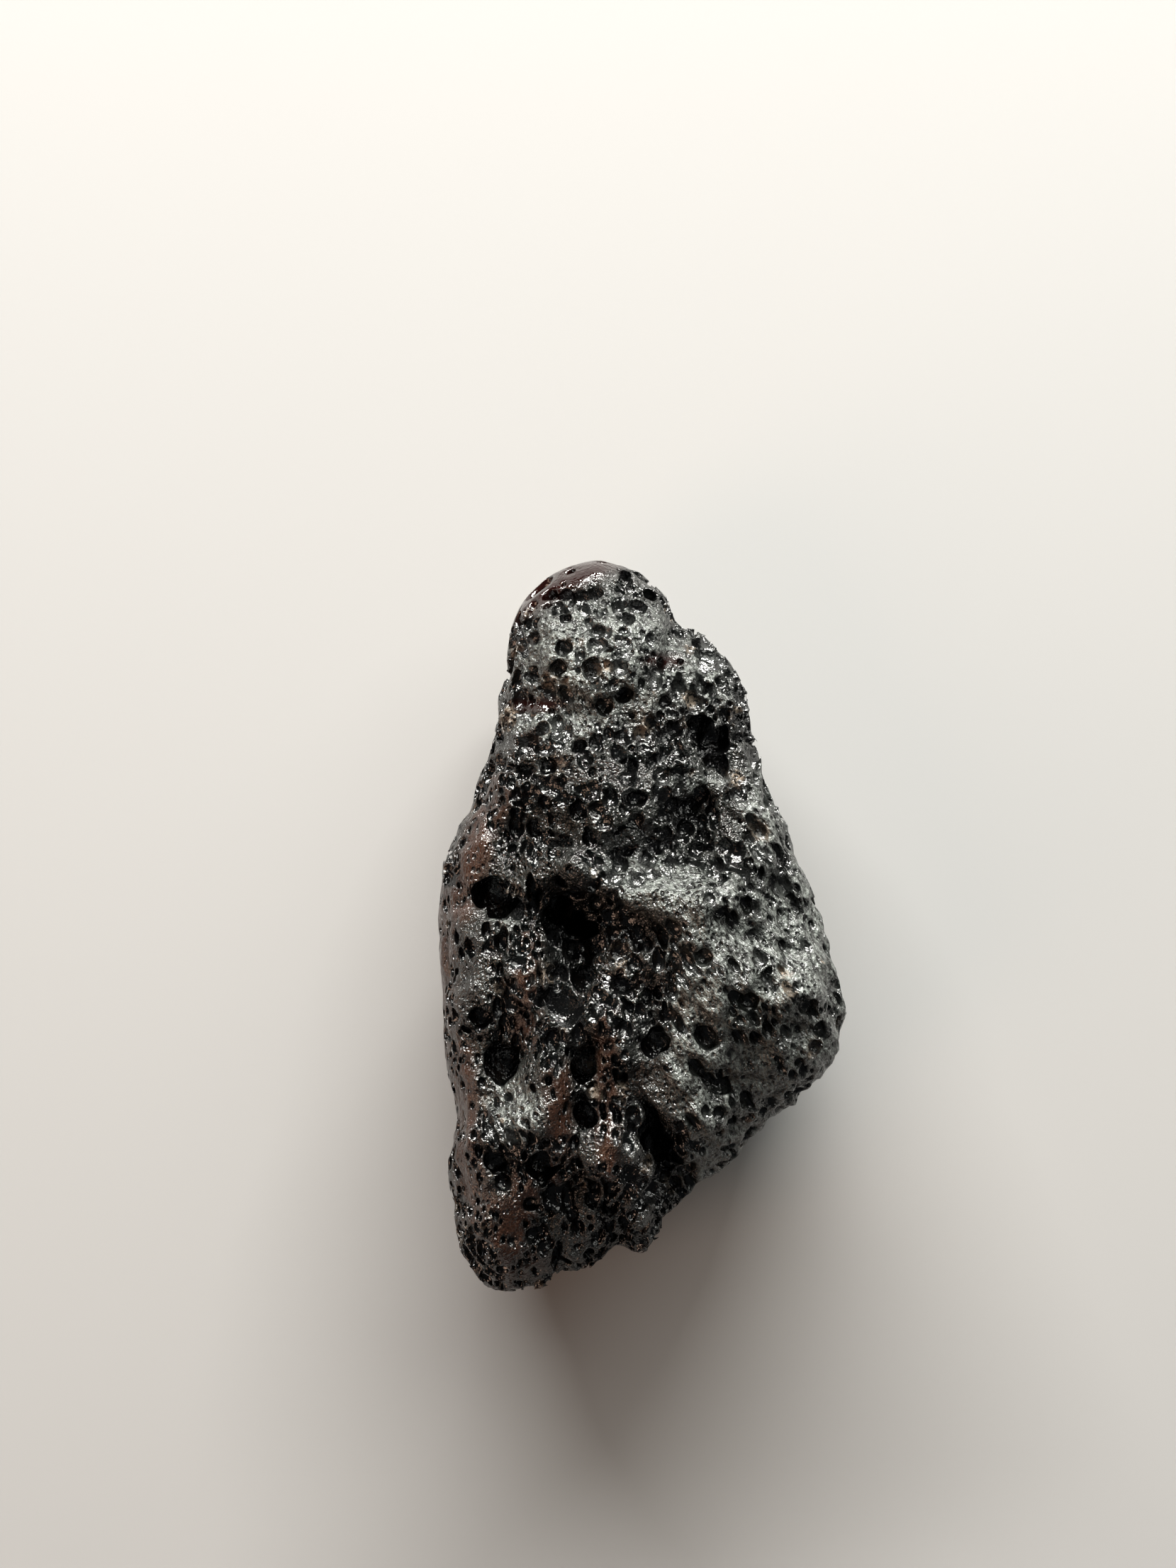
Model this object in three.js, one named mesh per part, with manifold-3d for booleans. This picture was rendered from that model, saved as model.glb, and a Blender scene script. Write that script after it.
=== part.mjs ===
// A small tektite: one lump of black natural glass, splashed from the ground by a meteorite impact and
// frozen in flight. It is one solid. Its skin is a rounded, lobed body with hollows, ribs and a saddle,
// bitten all over by gas bubbles that burst or were etched open. It lies on its back, on a small flat spot
// where it has been ground level, with its most bubbled face up.
//
// Frame, in millimetres: +Y runs along the stone to its narrow end, +X across it, +Z up off the surface that
// it lies on. The origin is on that surface, below the middle of the stone's length and width.

import * as THREE from "three";
import { mergeVertices } from "three/addons/utils/BufferGeometryUtils.js";
import Module from "manifold-3d";

// ---- Driving dimensions ----

const LENGTH = 20;
const WIDTH = 11.1;
const RIM_HEIGHT = 3.7; // how far above the surface the stone is widest
const CROWN_RISE = 3.9; // from there up to the crown, before the hollows and ribs
const BACK_DROP = 3.95; // and down to the back's lowest point, before the flat spot is ground
const MIDDLE = new THREE.Vector2(-0.6, -0.4); // the spindle that the outline is drawn around

const SKIN_STEPS = new THREE.Vector3(16, 29, 9); // the skin's quads across the stone, along it and up it
const CROWN_BLUNTNESS = 0.86; // 1 makes a section an ellipse, less makes it boxier
const BACK_BLUNTNESS = 0.95;

// The widest outline, seen from above, clockwise from the tip of the narrow end.
const OUTLINE = [
  [-1.2, 10.0], [-0.5, 9.8], [0.3, 9.4], [0.75, 8.8], [0.95, 8.3], [1.5, 8.05], [2.15, 7.45], // narrow end
  [2.7, 6.7], [2.95, 5.8], [3.3, 4.2], [3.75, 3.2], [4.2, 1.9], [4.7, 0.65], [5.15, -0.7], // right side
  [5.5, -2.0], [5.55, -2.55], [5.1, -3.8], [4.5, -4.5], // shoulder
  [3.35, -5.45], [2.3, -6.55], [1.25, -7.4], [0.6, -8.0], // slant below the shoulder
  [0.5, -8.45], [0, -8.9], [-0.6, -8.75], // small lobe
  [-1.15, -9.15], [-1.75, -9.45], [-2.25, -9.5], // middle lobe
  [-2.75, -9.85], [-3.55, -10], [-4.25, -9.85], [-4.75, -9.3], [-5.0, -8.6], // end lobe
  [-5.15, -7.5], [-5.3, -6.6], [-5.1, -5.85], [-5.1, -4.7], [-5.3, -3.85], [-5.4, -2.3], // left side
  [-5.55, 0], [-5.45, 1.05], [-5.2, 2.25], [-4.65, 3.25], [-4.3, 4.2], [-3.9, 5.55], // waist
  [-3.9, 6.2], [-3.65, 6.95], [-3.65, 7.7], [-3.4, 8.6], [-2.9, 9.25], [-2.2, 9.75], // narrow end
];

// Hollows and ribs: each follows a line of points, seen from above, and fades over its spread.
const CROWN_RELIEF = [
  { name: "upper bowl", along: [[1.9, 5.2], [1.6, 4.1], [1.5, 3.2]], spread: 1.15, rise: -1.3 },
  { name: "bowl's far rim", along: [[3.2, 4.2], [3.6, 2.2]], spread: 0.6, rise: 0.35 },
  { name: "cross valley", along: [[-3.0, 2.8], [-1.0, 2.3], [1.4, 2.2]], spread: 0.65, rise: -0.6 },
  { name: "saddle's left arm", along: [[-4.6, 3.1], [-3.3, 2.0], [-2.0, 1.5]], spread: 0.5, rise: 0.35 },
  { name: "saddle", along: [[-1.6, 1.2], [-0.4, 0.9], [1.8, 0.9], [3.2, 1.6]], spread: 0.6, rise: 0.6 },
  { name: "left hollow", along: [[-2.0, 0.2], [-1.7, -1.1]], spread: 1.1, rise: -1.25 },
  { name: "spine", along: [[1.2, 0.2], [1.3, -2.6], [0.9, -4.2]], spread: 0.9, rise: 0.45 },
  { name: "wall left of the spine", along: [[0.3, -0.5], [0.3, -2.6]], spread: 0.5, rise: -0.5 },
  { name: "right face's swell", along: [[3.4, -1.2], [3.3, -3.0]], spread: 1.5, rise: 0.4 },
  { name: "middle rib", along: [[-0.6, -2.8], [-0.6, -6.6]], spread: 0.5, rise: 0.4 },
  { name: "left rib", along: [[-2.7, -2.4], [-2.4, -5.4]], spread: 0.5, rise: 0.4 },
  { name: "trough", along: [[-1.6, -3.4], [-1.8, -7.2]], spread: 0.55, rise: -0.55 },
  { name: "left dimple", along: [[-3.9, -3.7], [-3.7, -4.3]], spread: 0.8, rise: -0.6 },
  { name: "edge rib", along: [[-4.8, -2.4], [-4.7, -5.0], [-4.3, -8.0]], spread: 0.5, rise: 0.3 },
  { name: "slanting groove", along: [[0.1, -4.7], [0.4, -5.9], [0.9, -6.9]], spread: 0.6, rise: -1.15 },
  { name: "lower shelf", along: [[1.3, -5.3], [2.8, -4.9]], spread: 0.5, rise: 0.3 },
  { name: "end lobe", along: [[-3.7, -9.0], [-3.9, -8.2]], spread: 0.8, rise: 0.35 },
  { name: "notch by the middle lobe", along: [[-2.7, -9.6], [-2.4, -8.2]], spread: 0.45, rise: -0.5 },
  { name: "notch by the small lobe", along: [[-0.7, -8.7], [-0.8, -7.8]], spread: 0.45, rise: -0.5 },
  { name: "crease across the neck", along: [[-3.6, 6.2], [-2.1, 6.0]], spread: 0.45, rise: -0.4 },
  { name: "neck's left swell", along: [[-3.0, 8.2], [-1.8, 8.9]], spread: 0.9, rise: 0.35 },
];
const BACK_RELIEF = [
  { name: "back hollow", along: [[1.9, 3.6], [2.6, 1.0]], spread: 1.1, rise: -0.8 },
  { name: "long flow trough", along: [[-3.8, 3.2], [-4.0, -4.6]], spread: 0.7, rise: -0.6 },
  { name: "shoulder hollow", along: [[3.5, -3.2], [2.2, -4.8]], spread: 0.8, rise: -0.7 },
  { name: "end hollow", along: [[-2.4, -7.6], [-1.2, -7.0]], spread: 0.8, rise: -0.6 },
  { name: "neck hollow", along: [[-1.4, 7.4], [-0.4, 6.2]], spread: 0.8, rise: -0.6 },
];

// Lumps all over the skin: how far apart they are and how high. Each size is turned a little further.
const LUMPS = [
  { apart: 4.6, high: 0.2 },
  { apart: 2.3, high: 0.11 },
  { apart: 1.3, high: 0.06 },
];
const LUMP_AXIS = new THREE.Vector3(1, 2, 3).normalize();
const LUMP_TURN = 1.1;
const RIM_HOLD = 8; // lumps fade out towards the widest outline, as this power of the reach

const OUTLINE_STEPS = 8; // straight steps from one point of the outline to the next

// Bubbles opened on the upper face: where, seen from above, and the bubble's radius. A stretched one is
// longer along the stone by that factor, or across it where the factor is under 1.
const CROWN_PITS = [
  { at: [-0.45, 8.25], radius: 0.3 },
  { at: [-2.1, 7.5], radius: 0.26 },
  { at: [-0.95, 7.3], radius: 0.25 },
  { at: [-3.05, 7.0], radius: 0.3, stretch: 0.7 },
  { at: [-1.3, 6.9], radius: 0.34 },
  { at: [-2.25, 7.0], radius: 0.27 },
  { at: [-0.55, 6.4], radius: 0.3 },
  { at: [1.5, 6.15], radius: 0.33 },
  { at: [-2.4, 5.45], radius: 0.3 },
  { at: [1.85, 5.2], radius: 0.72, stretch: 1.1 },
  { at: [2.3, 4.65], radius: 0.5, stretch: 1.2 },
  { at: [-3.15, 4.95], radius: 0.38, stretch: 0.75 },
  { at: [0.4, 4.45], radius: 0.32 },
  { at: [-2.6, 4.4], radius: 0.27 },
  { at: [-3.15, 4.15], radius: 0.38, stretch: 0.8 },
  { at: [-0.4, 4.05], radius: 0.3 },
  { at: [1.55, 3.6], radius: 0.34 },
  { at: [-3.05, 3.35], radius: 0.26 },
  { at: [-1.7, 3.2], radius: 0.3 },
  { at: [1.0, 2.7], radius: 0.3 },
  { at: [2.6, 2.0], radius: 0.36 },
  { at: [-2.4, 1.95], radius: 0.28 },
  { at: [-4.3, 0.9], radius: 0.56 },
  { at: [-3.9, 0.45], radius: 0.44 },
  { at: [-2.95, 1.1], radius: 0.34, stretch: 1.8 },
  { at: [-1.75, 0.35], radius: 0.95 },
  { at: [2.05, 0.4], radius: 0.26 },
  { at: [1.6, -0.75], radius: 0.26 },
  { at: [3.15, -0.75], radius: 0.28, stretch: 1.4 },
  { at: [-0.6, -0.6], radius: 0.3 },
  { at: [-4.5, -0.5], radius: 0.25, stretch: 1.4 },
  { at: [-3.25, -0.9], radius: 0.26 },
  { at: [-1.45, -1.4], radius: 0.42 },
  { at: [-0.5, -1.5], radius: 0.34, stretch: 0.7 },
  { at: [2.85, -1.95], radius: 0.3 },
  { at: [4.35, -2.1], radius: 0.3 },
  { at: [-2.2, -2.1], radius: 0.5 },
  { at: [-4.4, -2.4], radius: 0.34 },
  { at: [0.5, -3.2], radius: 0.4 },
  { at: [1.8, -2.9], radius: 0.36, stretch: 1.3 },
  { at: [-3.55, -3.15], radius: 0.24, stretch: 1.9 },
  { at: [-3.9, -3.75], radius: 0.52 },
  { at: [-1.65, -3.85], radius: 0.55 },
  { at: [2.25, -4.25], radius: 0.38, stretch: 1.3 },
  { at: [-1.5, -5.2], radius: 0.5 },
  { at: [1.5, -5.85], radius: 0.3 },
  { at: [-2.75, -6.25], radius: 0.5 },
  { at: [-4.0, -6.3], radius: 0.36 },
  { at: [-0.3, -6.6], radius: 0.32 },
  { at: [-2.5, -7.4], radius: 0.38, stretch: 1.4 },
  { at: [0.3, -7.2], radius: 0.36 },
  { at: [-3.05, -8.45], radius: 0.3 },
  { at: [-4.3, -9.0], radius: 0.24 },
];

// Bubbles opened on the sides and the back, spread evenly by a spiral over the whole skin. It leaves out the
// directions that rise over a limit, because the upper face has its own, and those of the flat spot.
const SPIRAL_PITS = 62;
const SPIRAL_RADII = [0.3, 0.42, 0.26, 0.6, 0.34, 0.28, 0.5]; // taken in turn
const SPIRAL_TOP = 0.3;
const SPIRAL_BOTTOM = -0.93;

// A bubble's facets around it: more on a larger one.
const BUBBLE_SIDES = [
  { under: 0.33, sides: 6 },
  { under: 0.46, sides: 7 },
  { under: 0.7, sides: 9 },
  { under: 2, sides: 14 },
];
const PIT_SINK = 0.18; // how far a bubble's centre lies under the skin, as a share of its radius

const GLASS = { color: 0x0b0b0c, roughness: 0.28, metalness: 0 };

const SAME_POINT = 1e-4; // corners that lie closer than this are one

const wasm = await Module();
wasm.setup();

// ---- The body ----

// The smooth outline as angles and distances around the middle, with one more step at each end.
const corners = OUTLINE.map(([x, y]) => new THREE.Vector3(x - MIDDLE.x, y - MIDDLE.y, 0));
const rim = new THREE.CatmullRomCurve3(corners, true, "catmullrom")
  .getPoints(OUTLINE.length * OUTLINE_STEPS)
  .map((p) => ({ angle: Math.atan2(p.y, p.x), radius: Math.hypot(p.x, p.y) }))
  .sort((a, b) => a.angle - b.angle);
const [rimStart, rimEnd] = [rim.at(0), rim.at(-1)];
rim.unshift({ angle: rimEnd.angle - 2 * Math.PI, radius: rimEnd.radius });
rim.push({ angle: rimStart.angle + 2 * Math.PI, radius: rimStart.radius });

// How far the outline lies from the middle, at an angle in the XY plane.
function rimRadius(angle) {
  const after = rim.findIndex((p) => p.angle > angle);
  const [start, end] = [rim[after - 1], rim[after]];
  const share = (angle - start.angle) / (end.angle - start.angle);
  return THREE.MathUtils.lerp(start.radius, end.radius, share);
}

// The height that the hollows and ribs add at a point seen from above.
function relief(features, x, y) {
  const point = new THREE.Vector3(x, y, 0);
  const nearest = new THREE.Vector3();
  let height = 0;
  for (const { along, spread, rise } of features) {
    let away = Infinity;
    for (let i = 1; i < along.length; i++) {
      const line = new THREE.Line3(new THREE.Vector3(...along[i - 1], 0), new THREE.Vector3(...along[i], 0));
      away = Math.min(away, line.closestPointToPoint(point, true, nearest).distanceTo(point));
    }
    height += rise * Math.exp(-((away / spread) ** 2));
  }
  return height;
}

// Rounded lumps from waves that cross each other.
function lumpHeight(point) {
  let height = 0;
  LUMPS.forEach(({ apart, high }, i) => {
    const { x, y, z } = point
      .clone()
      .applyAxisAngle(LUMP_AXIS, LUMP_TURN * i)
      .multiplyScalar((2 * Math.PI) / apart);
    height += high * (Math.sin(x) * Math.cos(y) + Math.sin(y) * Math.cos(z) + Math.sin(z) * Math.cos(x));
  });
  return height;
}

// The skin's point for a direction out of the middle of the stone, and the way that the skin faces there.
function skin(direction) {
  const angle = Math.atan2(direction.y * LENGTH, direction.x * WIDTH);
  const reach = Math.hypot(direction.x, direction.y); // 1 at the widest outline, 0 at the crown and the back
  const up = direction.z >= 0;
  const bluntness = up ? CROWN_BLUNTNESS : BACK_BLUNTNESS;
  const out = rimRadius(angle) * reach ** bluntness;
  const x = MIDDLE.x + out * Math.cos(angle);
  const y = MIDDLE.y + out * Math.sin(angle);
  const steep = Math.abs(direction.z) ** bluntness;
  const z = up
    ? RIM_HEIGHT + steep * (CROWN_RISE + relief(CROWN_RELIEF, x, y))
    : RIM_HEIGHT - steep * (BACK_DROP + relief(BACK_RELIEF, x, y));
  const facing = new THREE.Vector3(
    (2 * direction.x) / WIDTH,
    (2 * direction.y) / LENGTH,
    direction.z / (up ? CROWN_RISE : BACK_DROP),
  ).normalize();
  const point = new THREE.Vector3(x, y, z);
  const share = (1 - reach ** RIM_HOLD) * (up ? 1 : reach); // no lumps at the rim, nor under the stone
  return { point: point.addScaledVector(facing, share * lumpHeight(point)), facing };
}

// The direction whose skin point lies at x, y on the upper face.
function crownDirection([x, y]) {
  const out = Math.hypot(x - MIDDLE.x, y - MIDDLE.y);
  const angle = Math.atan2(y - MIDDLE.y, x - MIDDLE.x);
  const reach = Math.min((out / rimRadius(angle)) ** (1 / CROWN_BLUNTNESS), 1);
  const side = new THREE.Vector2(Math.cos(angle) / WIDTH, Math.sin(angle) / LENGTH).setLength(reach);
  return new THREE.Vector3(side.x, side.y, Math.sqrt(1 - reach ** 2));
}

// A three.js shape as a manifold-3d solid.
function solid(geometry) {
  const bare = geometry.clone();
  bare.deleteAttribute("normal");
  bare.deleteAttribute("uv");
  const merged = mergeVertices(bare, SAME_POINT);
  return new wasm.Manifold(
    new wasm.Mesh({
      numProp: 3,
      vertProperties: new Float32Array(merged.attributes.position.array),
      triVerts: new Uint32Array(merged.index.array),
    }),
  );
}

// Splits each of a box's quads along its shorter diagonal.
function splitShort(shape) {
  const corner = (i) => new THREE.Vector3().fromBufferAttribute(shape.attributes.position, i);
  const split = [];
  for (let i = 0; i < shape.index.count; i += 6) {
    const [a, b, d, , c] = shape.index.array.slice(i, i + 6);
    const across = corner(a).distanceTo(corner(c)) < corner(b).distanceTo(corner(d));
    split.push(...(across ? [a, b, c, a, c, d] : [a, b, d, b, c, d]));
  }
  return shape.setIndex(split);
}

// The body is a box of even quads blown up to a ball, and the ball's points moved out to the skin.
function body() {
  const shape = new THREE.BoxGeometry(2, 2, 2, SKIN_STEPS.x, SKIN_STEPS.y, SKIN_STEPS.z);
  const places = shape.attributes.position;
  for (let i = 0; i < places.count; i++) {
    const [x, y, z] = [places.getX(i), places.getY(i), places.getZ(i)];
    const direction = new THREE.Vector3(
      x * Math.sqrt(1 - y ** 2 / 2 - z ** 2 / 2 + (y * z) ** 2 / 3),
      y * Math.sqrt(1 - z ** 2 / 2 - x ** 2 / 2 + (z * x) ** 2 / 3),
      z * Math.sqrt(1 - x ** 2 / 2 - y ** 2 / 2 + (x * y) ** 2 / 3),
    ).normalize();
    const { point } = skin(direction);
    places.setXYZ(i, point.x, point.y, point.z);
  }
  return solid(splitShort(shape));
}

// ---- The bubbles ----

// A ball whose poles lie along the way that the skin faces, so that a pit's facets ring its floor.
function bubble({ point, facing }, radius, stretch = 1) {
  const sides = BUBBLE_SIDES.find(({ under }) => radius < under).sides;
  const shape = new THREE.SphereGeometry(radius, sides, Math.ceil(sides / 2));
  shape.applyQuaternion(new THREE.Quaternion().setFromUnitVectors(new THREE.Vector3(0, 1, 0), facing));
  shape.scale(1 / Math.sqrt(stretch), Math.sqrt(stretch), 1);
  const centre = point.clone().addScaledVector(facing, -PIT_SINK * radius);
  return solid(shape.translate(centre.x, centre.y, centre.z));
}

function crownPits() {
  return CROWN_PITS.map(({ at, radius, stretch }) => bubble(skin(crownDirection(at)), radius, stretch));
}

function spiralPits() {
  const turn = Math.PI * (3 - Math.sqrt(5));
  const pits = [];
  for (let i = 0; i < SPIRAL_PITS; i++) {
    const z = 1 - (2 * i + 1) / SPIRAL_PITS;
    const wide = Math.sqrt(1 - z * z);
    if (z > SPIRAL_TOP || z < SPIRAL_BOTTOM) continue;
    const direction = new THREE.Vector3(wide * Math.cos(i * turn), wide * Math.sin(i * turn), z);
    pits.push(bubble(skin(direction), SPIRAL_RADII[i % SPIRAL_RADII.length]));
  }
  return pits;
}

// ---- The flat spot ----

// All that reaches below the surface that the stone lies on.
function ground() {
  return solid(new THREE.BoxGeometry(2 * WIDTH, 2 * LENGTH, RIM_HEIGHT).translate(0, 0, -RIM_HEIGHT / 2));
}

// ---- The stone ----

function tektite() {
  const cuts = [...crownPits(), ...spiralPits(), ground()];
  const cut = cuts.reduce((stone, piece) => stone.subtract(piece), body()).getMesh();
  const shape = new THREE.BufferGeometry()
    .setAttribute("position", new THREE.BufferAttribute(new Float32Array(cut.vertProperties), 3))
    .setIndex(new THREE.BufferAttribute(new Uint32Array(cut.triVerts), 1));
  shape.computeVertexNormals();
  const mesh = new THREE.Mesh(shape, new THREE.MeshStandardMaterial(GLASS));
  mesh.name = "tektite";
  return mesh;
}

const stone = new THREE.Group();
stone.add(tektite());

export default stone;
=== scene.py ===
import math
from collections import namedtuple

import bmesh
import bpy
import numpy as np
from mathutils import Matrix, Vector, noise


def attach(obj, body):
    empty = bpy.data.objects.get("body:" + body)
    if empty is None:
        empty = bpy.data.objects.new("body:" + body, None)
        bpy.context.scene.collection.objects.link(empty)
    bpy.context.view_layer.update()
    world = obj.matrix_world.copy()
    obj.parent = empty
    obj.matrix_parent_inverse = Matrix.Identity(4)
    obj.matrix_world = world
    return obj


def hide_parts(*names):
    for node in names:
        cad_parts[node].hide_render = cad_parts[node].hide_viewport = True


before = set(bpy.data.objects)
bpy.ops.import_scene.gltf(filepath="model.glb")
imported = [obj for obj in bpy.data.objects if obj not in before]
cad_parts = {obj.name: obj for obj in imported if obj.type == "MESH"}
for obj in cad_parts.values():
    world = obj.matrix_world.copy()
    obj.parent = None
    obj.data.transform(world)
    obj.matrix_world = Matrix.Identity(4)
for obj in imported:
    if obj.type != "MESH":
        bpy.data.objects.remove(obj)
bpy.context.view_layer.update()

# ---- The tektite ----
# It is one lump of black natural glass: ground that a meteorite melted and splashed, and that froze in
# flight. All of it is this one piece: the drawn-out body, the gas bubbles that opened in its skin, the grain
# that wet soil has etched into it since, and the dirt left in some of the pits.

MM = 0.001  # the sizes below are in millimetres, and Blender's are in metres

# -- its shape --

LENGTH = 20
WIDTH = 11.1
RIM_HEIGHT = 3.7  # how far above the floor the stone is widest
CROWN_RISE = 3.9  # from there up to the crown, before the hollows and ribs
BACK_DROP = 3.95  # and down to the back's lowest point, before the flat spot is ground
MIDDLE = np.array([-0.6, -0.4])  # the spindle that the outline is drawn around
CROWN_BLUNTNESS = 0.86  # 1 makes a section an ellipse, less makes it boxier
BACK_BLUNTNESS = 0.95
SKIN_STEPS = (124, 224, 56)  # the skin's quads across the stone, along it and up it

# The widest outline, seen from above, clockwise from the tip of the narrow end.
OUTLINE = [
    (-1.2, 10.0), (-0.5, 9.8), (0.3, 9.4), (0.75, 8.8), (0.95, 8.3), (1.5, 8.05), (2.15, 7.45),
    (2.7, 6.7), (2.95, 5.8), (3.3, 4.2), (3.75, 3.2), (4.2, 1.9), (4.7, 0.65), (5.15, -0.7),
    (5.5, -2.0), (5.55, -2.55), (5.1, -3.8), (4.5, -4.5),
    (3.35, -5.45), (2.3, -6.55), (1.25, -7.4), (0.6, -8.0),
    (0.5, -8.45), (0, -8.9), (-0.6, -8.75),
    (-1.15, -9.15), (-1.75, -9.45), (-2.25, -9.5),
    (-2.75, -9.85), (-3.55, -10), (-4.25, -9.85), (-4.75, -9.3), (-5.0, -8.6),
    (-5.15, -7.5), (-5.3, -6.6), (-5.1, -5.85), (-5.1, -4.7), (-5.3, -3.85), (-5.4, -2.3),
    (-5.55, 0), (-5.45, 1.05), (-5.2, 2.25), (-4.65, 3.25), (-4.3, 4.2), (-3.9, 5.55),
    (-3.9, 6.2), (-3.65, 6.95), (-3.65, 7.7), (-3.4, 8.6), (-2.9, 9.25), (-2.2, 9.75),
]
OUTLINE_STEPS = 8  # steps from one point of the outline to the next

# Hollows and ribs: the line that each follows seen from above, how far it spreads, and how far it rises.
CROWN_RELIEF = {
    "upper bowl": ([(1.9, 5.2), (1.6, 4.1), (1.5, 3.2)], 1.15, -1.3),
    "bowl's far rim": ([(3.2, 4.2), (3.6, 2.2)], 0.6, 0.35),
    "cross valley": ([(-3.0, 2.8), (-1.0, 2.3), (1.4, 2.2)], 0.65, -0.6),
    "saddle's left arm": ([(-4.6, 3.1), (-3.3, 2.0), (-2.0, 1.5)], 0.5, 0.35),
    "saddle": ([(-1.6, 1.2), (-0.4, 0.9), (1.8, 0.9), (3.2, 1.6)], 0.6, 0.6),
    "left hollow": ([(-2.0, 0.2), (-1.7, -1.1)], 1.1, -1.25),
    "spine": ([(1.2, 0.2), (1.3, -2.6), (0.9, -4.2)], 0.9, 0.45),
    "wall left of the spine": ([(0.3, -0.5), (0.3, -2.6)], 0.5, -0.5),
    "right face's swell": ([(3.4, -1.2), (3.3, -3.0)], 1.5, 0.4),
    "middle rib": ([(-0.6, -2.8), (-0.6, -6.6)], 0.5, 0.4),
    "left rib": ([(-2.7, -2.4), (-2.4, -5.4)], 0.5, 0.4),
    "trough": ([(-1.6, -3.4), (-1.8, -7.2)], 0.55, -0.55),
    "left dimple": ([(-3.9, -3.7), (-3.7, -4.3)], 0.8, -0.6),
    "edge rib": ([(-4.8, -2.4), (-4.7, -5.0), (-4.3, -8.0)], 0.5, 0.3),
    "slanting groove": ([(0.1, -4.7), (0.4, -5.9), (0.9, -6.9)], 0.6, -1.15),
    "lower shelf": ([(1.3, -5.3), (2.8, -4.9)], 0.5, 0.3),
    "end lobe": ([(-3.7, -9.0), (-3.9, -8.2)], 0.8, 0.35),
    "notch by the middle lobe": ([(-2.7, -9.6), (-2.4, -8.2)], 0.45, -0.5),
    "notch by the small lobe": ([(-0.7, -8.7), (-0.8, -7.8)], 0.45, -0.5),
    "crease across the neck": ([(-3.6, 6.2), (-2.1, 6.0)], 0.45, -0.4),
    "neck's left swell": ([(-3.0, 8.2), (-1.8, 8.9)], 0.9, 0.35),
}
BACK_RELIEF = {
    "back hollow": ([(1.9, 3.6), (2.6, 1.0)], 1.1, -0.8),
    "long flow trough": ([(-3.8, 3.2), (-4.0, -4.6)], 0.7, -0.6),
    "shoulder hollow": ([(3.5, -3.2), (2.2, -4.8)], 0.8, -0.7),
    "end hollow": ([(-2.4, -7.6), (-1.2, -7.0)], 0.8, -0.6),
    "neck hollow": ([(-1.4, 7.4), (-0.4, 6.2)], 0.8, -0.6),
}

# Lumps: how far apart each size is, and how high. Each size is turned a little further.
LUMPS = [(4.6, 0.2), (2.3, 0.11), (1.3, 0.06)]
LUMP_AXIS = Vector((1, 2, 3)).normalized()
LUMP_TURN = 1.1
RIM_HOLD = 8  # lumps fade out towards the widest outline, as this power of the reach


def smooth_outline():
    """The outline's angles and distances around the middle, on a smooth curve through its points."""
    start = np.array(OUTLINE, float) - MIDDLE
    before, end, after = (np.roll(start, shift, axis=0) for shift in (1, -1, -2))
    curve = []
    for t in np.arange(OUTLINE_STEPS) / OUTLINE_STEPS:
        ends = (1 - 3 * t**2 + 2 * t**3) * start + (3 * t**2 - 2 * t**3) * end
        leaving = (t - 2 * t**2 + t**3) * (end - before) / 2
        arriving = (t**3 - t**2) * (after - start) / 2
        curve.append(ends + leaving + arriving)
    x, y = np.concatenate(curve).T
    order = np.argsort(np.arctan2(y, x))
    return np.arctan2(y, x)[order], np.hypot(x, y)[order]


RIM_ANGLES, RIM_RADII = smooth_outline()


def rim_radius(angle):
    """How far the outline lies from the middle."""
    return np.interp(angle, RIM_ANGLES, RIM_RADII, period=2 * math.pi)


def away_from_line(line, points):
    """How far points lie from a line of straight stretches, seen from above."""
    seen = points[:, :2]
    away = np.full(len(points), np.inf)
    for start, end in zip(np.array(line[:-1]), np.array(line[1:])):
        along = end - start
        share = np.clip((seen - start) @ along / (along @ along), 0, 1)
        away = np.minimum(away, np.linalg.norm(seen - start - share[:, None] * along, axis=1))
    return away


def relief(features, points):
    """The height that hollows and ribs add, seen from above."""
    height = np.zeros(len(points))
    for line, spread, rise in features.values():
        height += rise * np.exp(-((away_from_line(line, points) / spread) ** 2))
    return height


def lump_height(points):
    """Rounded lumps from waves that cross each other."""
    height = np.zeros(len(points))
    for size, (apart, high) in enumerate(LUMPS):
        turn = np.array(Matrix.Rotation(LUMP_TURN * size, 3, LUMP_AXIS))
        x, y, z = (points @ turn.T * 2 * math.pi / apart).T
        height += high * (np.sin(x) * np.cos(y) + np.sin(y) * np.cos(z) + np.sin(z) * np.cos(x))
    return height


def skin(direction):
    """The skin's points for directions out of the middle, and the way that the skin roughly faces there."""
    angle = np.arctan2(direction[:, 1] * LENGTH, direction[:, 0] * WIDTH)
    reach = np.hypot(direction[:, 0], direction[:, 1])
    up = direction[:, 2] >= 0
    bluntness = np.where(up, CROWN_BLUNTNESS, BACK_BLUNTNESS)
    out = rim_radius(angle) * reach**bluntness
    seen = MIDDLE + np.column_stack([out * np.cos(angle), out * np.sin(angle)])
    steep = np.abs(direction[:, 2]) ** bluntness
    crown = RIM_HEIGHT + steep * (CROWN_RISE + relief(CROWN_RELIEF, seen))
    back = RIM_HEIGHT - steep * (BACK_DROP + relief(BACK_RELIEF, seen))
    points = np.column_stack([seen, np.where(up, crown, back)])
    half_height = np.where(up, CROWN_RISE, BACK_DROP)
    facing = direction / np.column_stack(np.broadcast_arrays(WIDTH / 2, LENGTH / 2, half_height))
    facing /= np.linalg.norm(facing, axis=1, keepdims=True)
    share = (1 - reach**RIM_HOLD) * np.where(up, 1, reach)
    return points + facing * (share * lump_height(points))[:, None], facing


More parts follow.
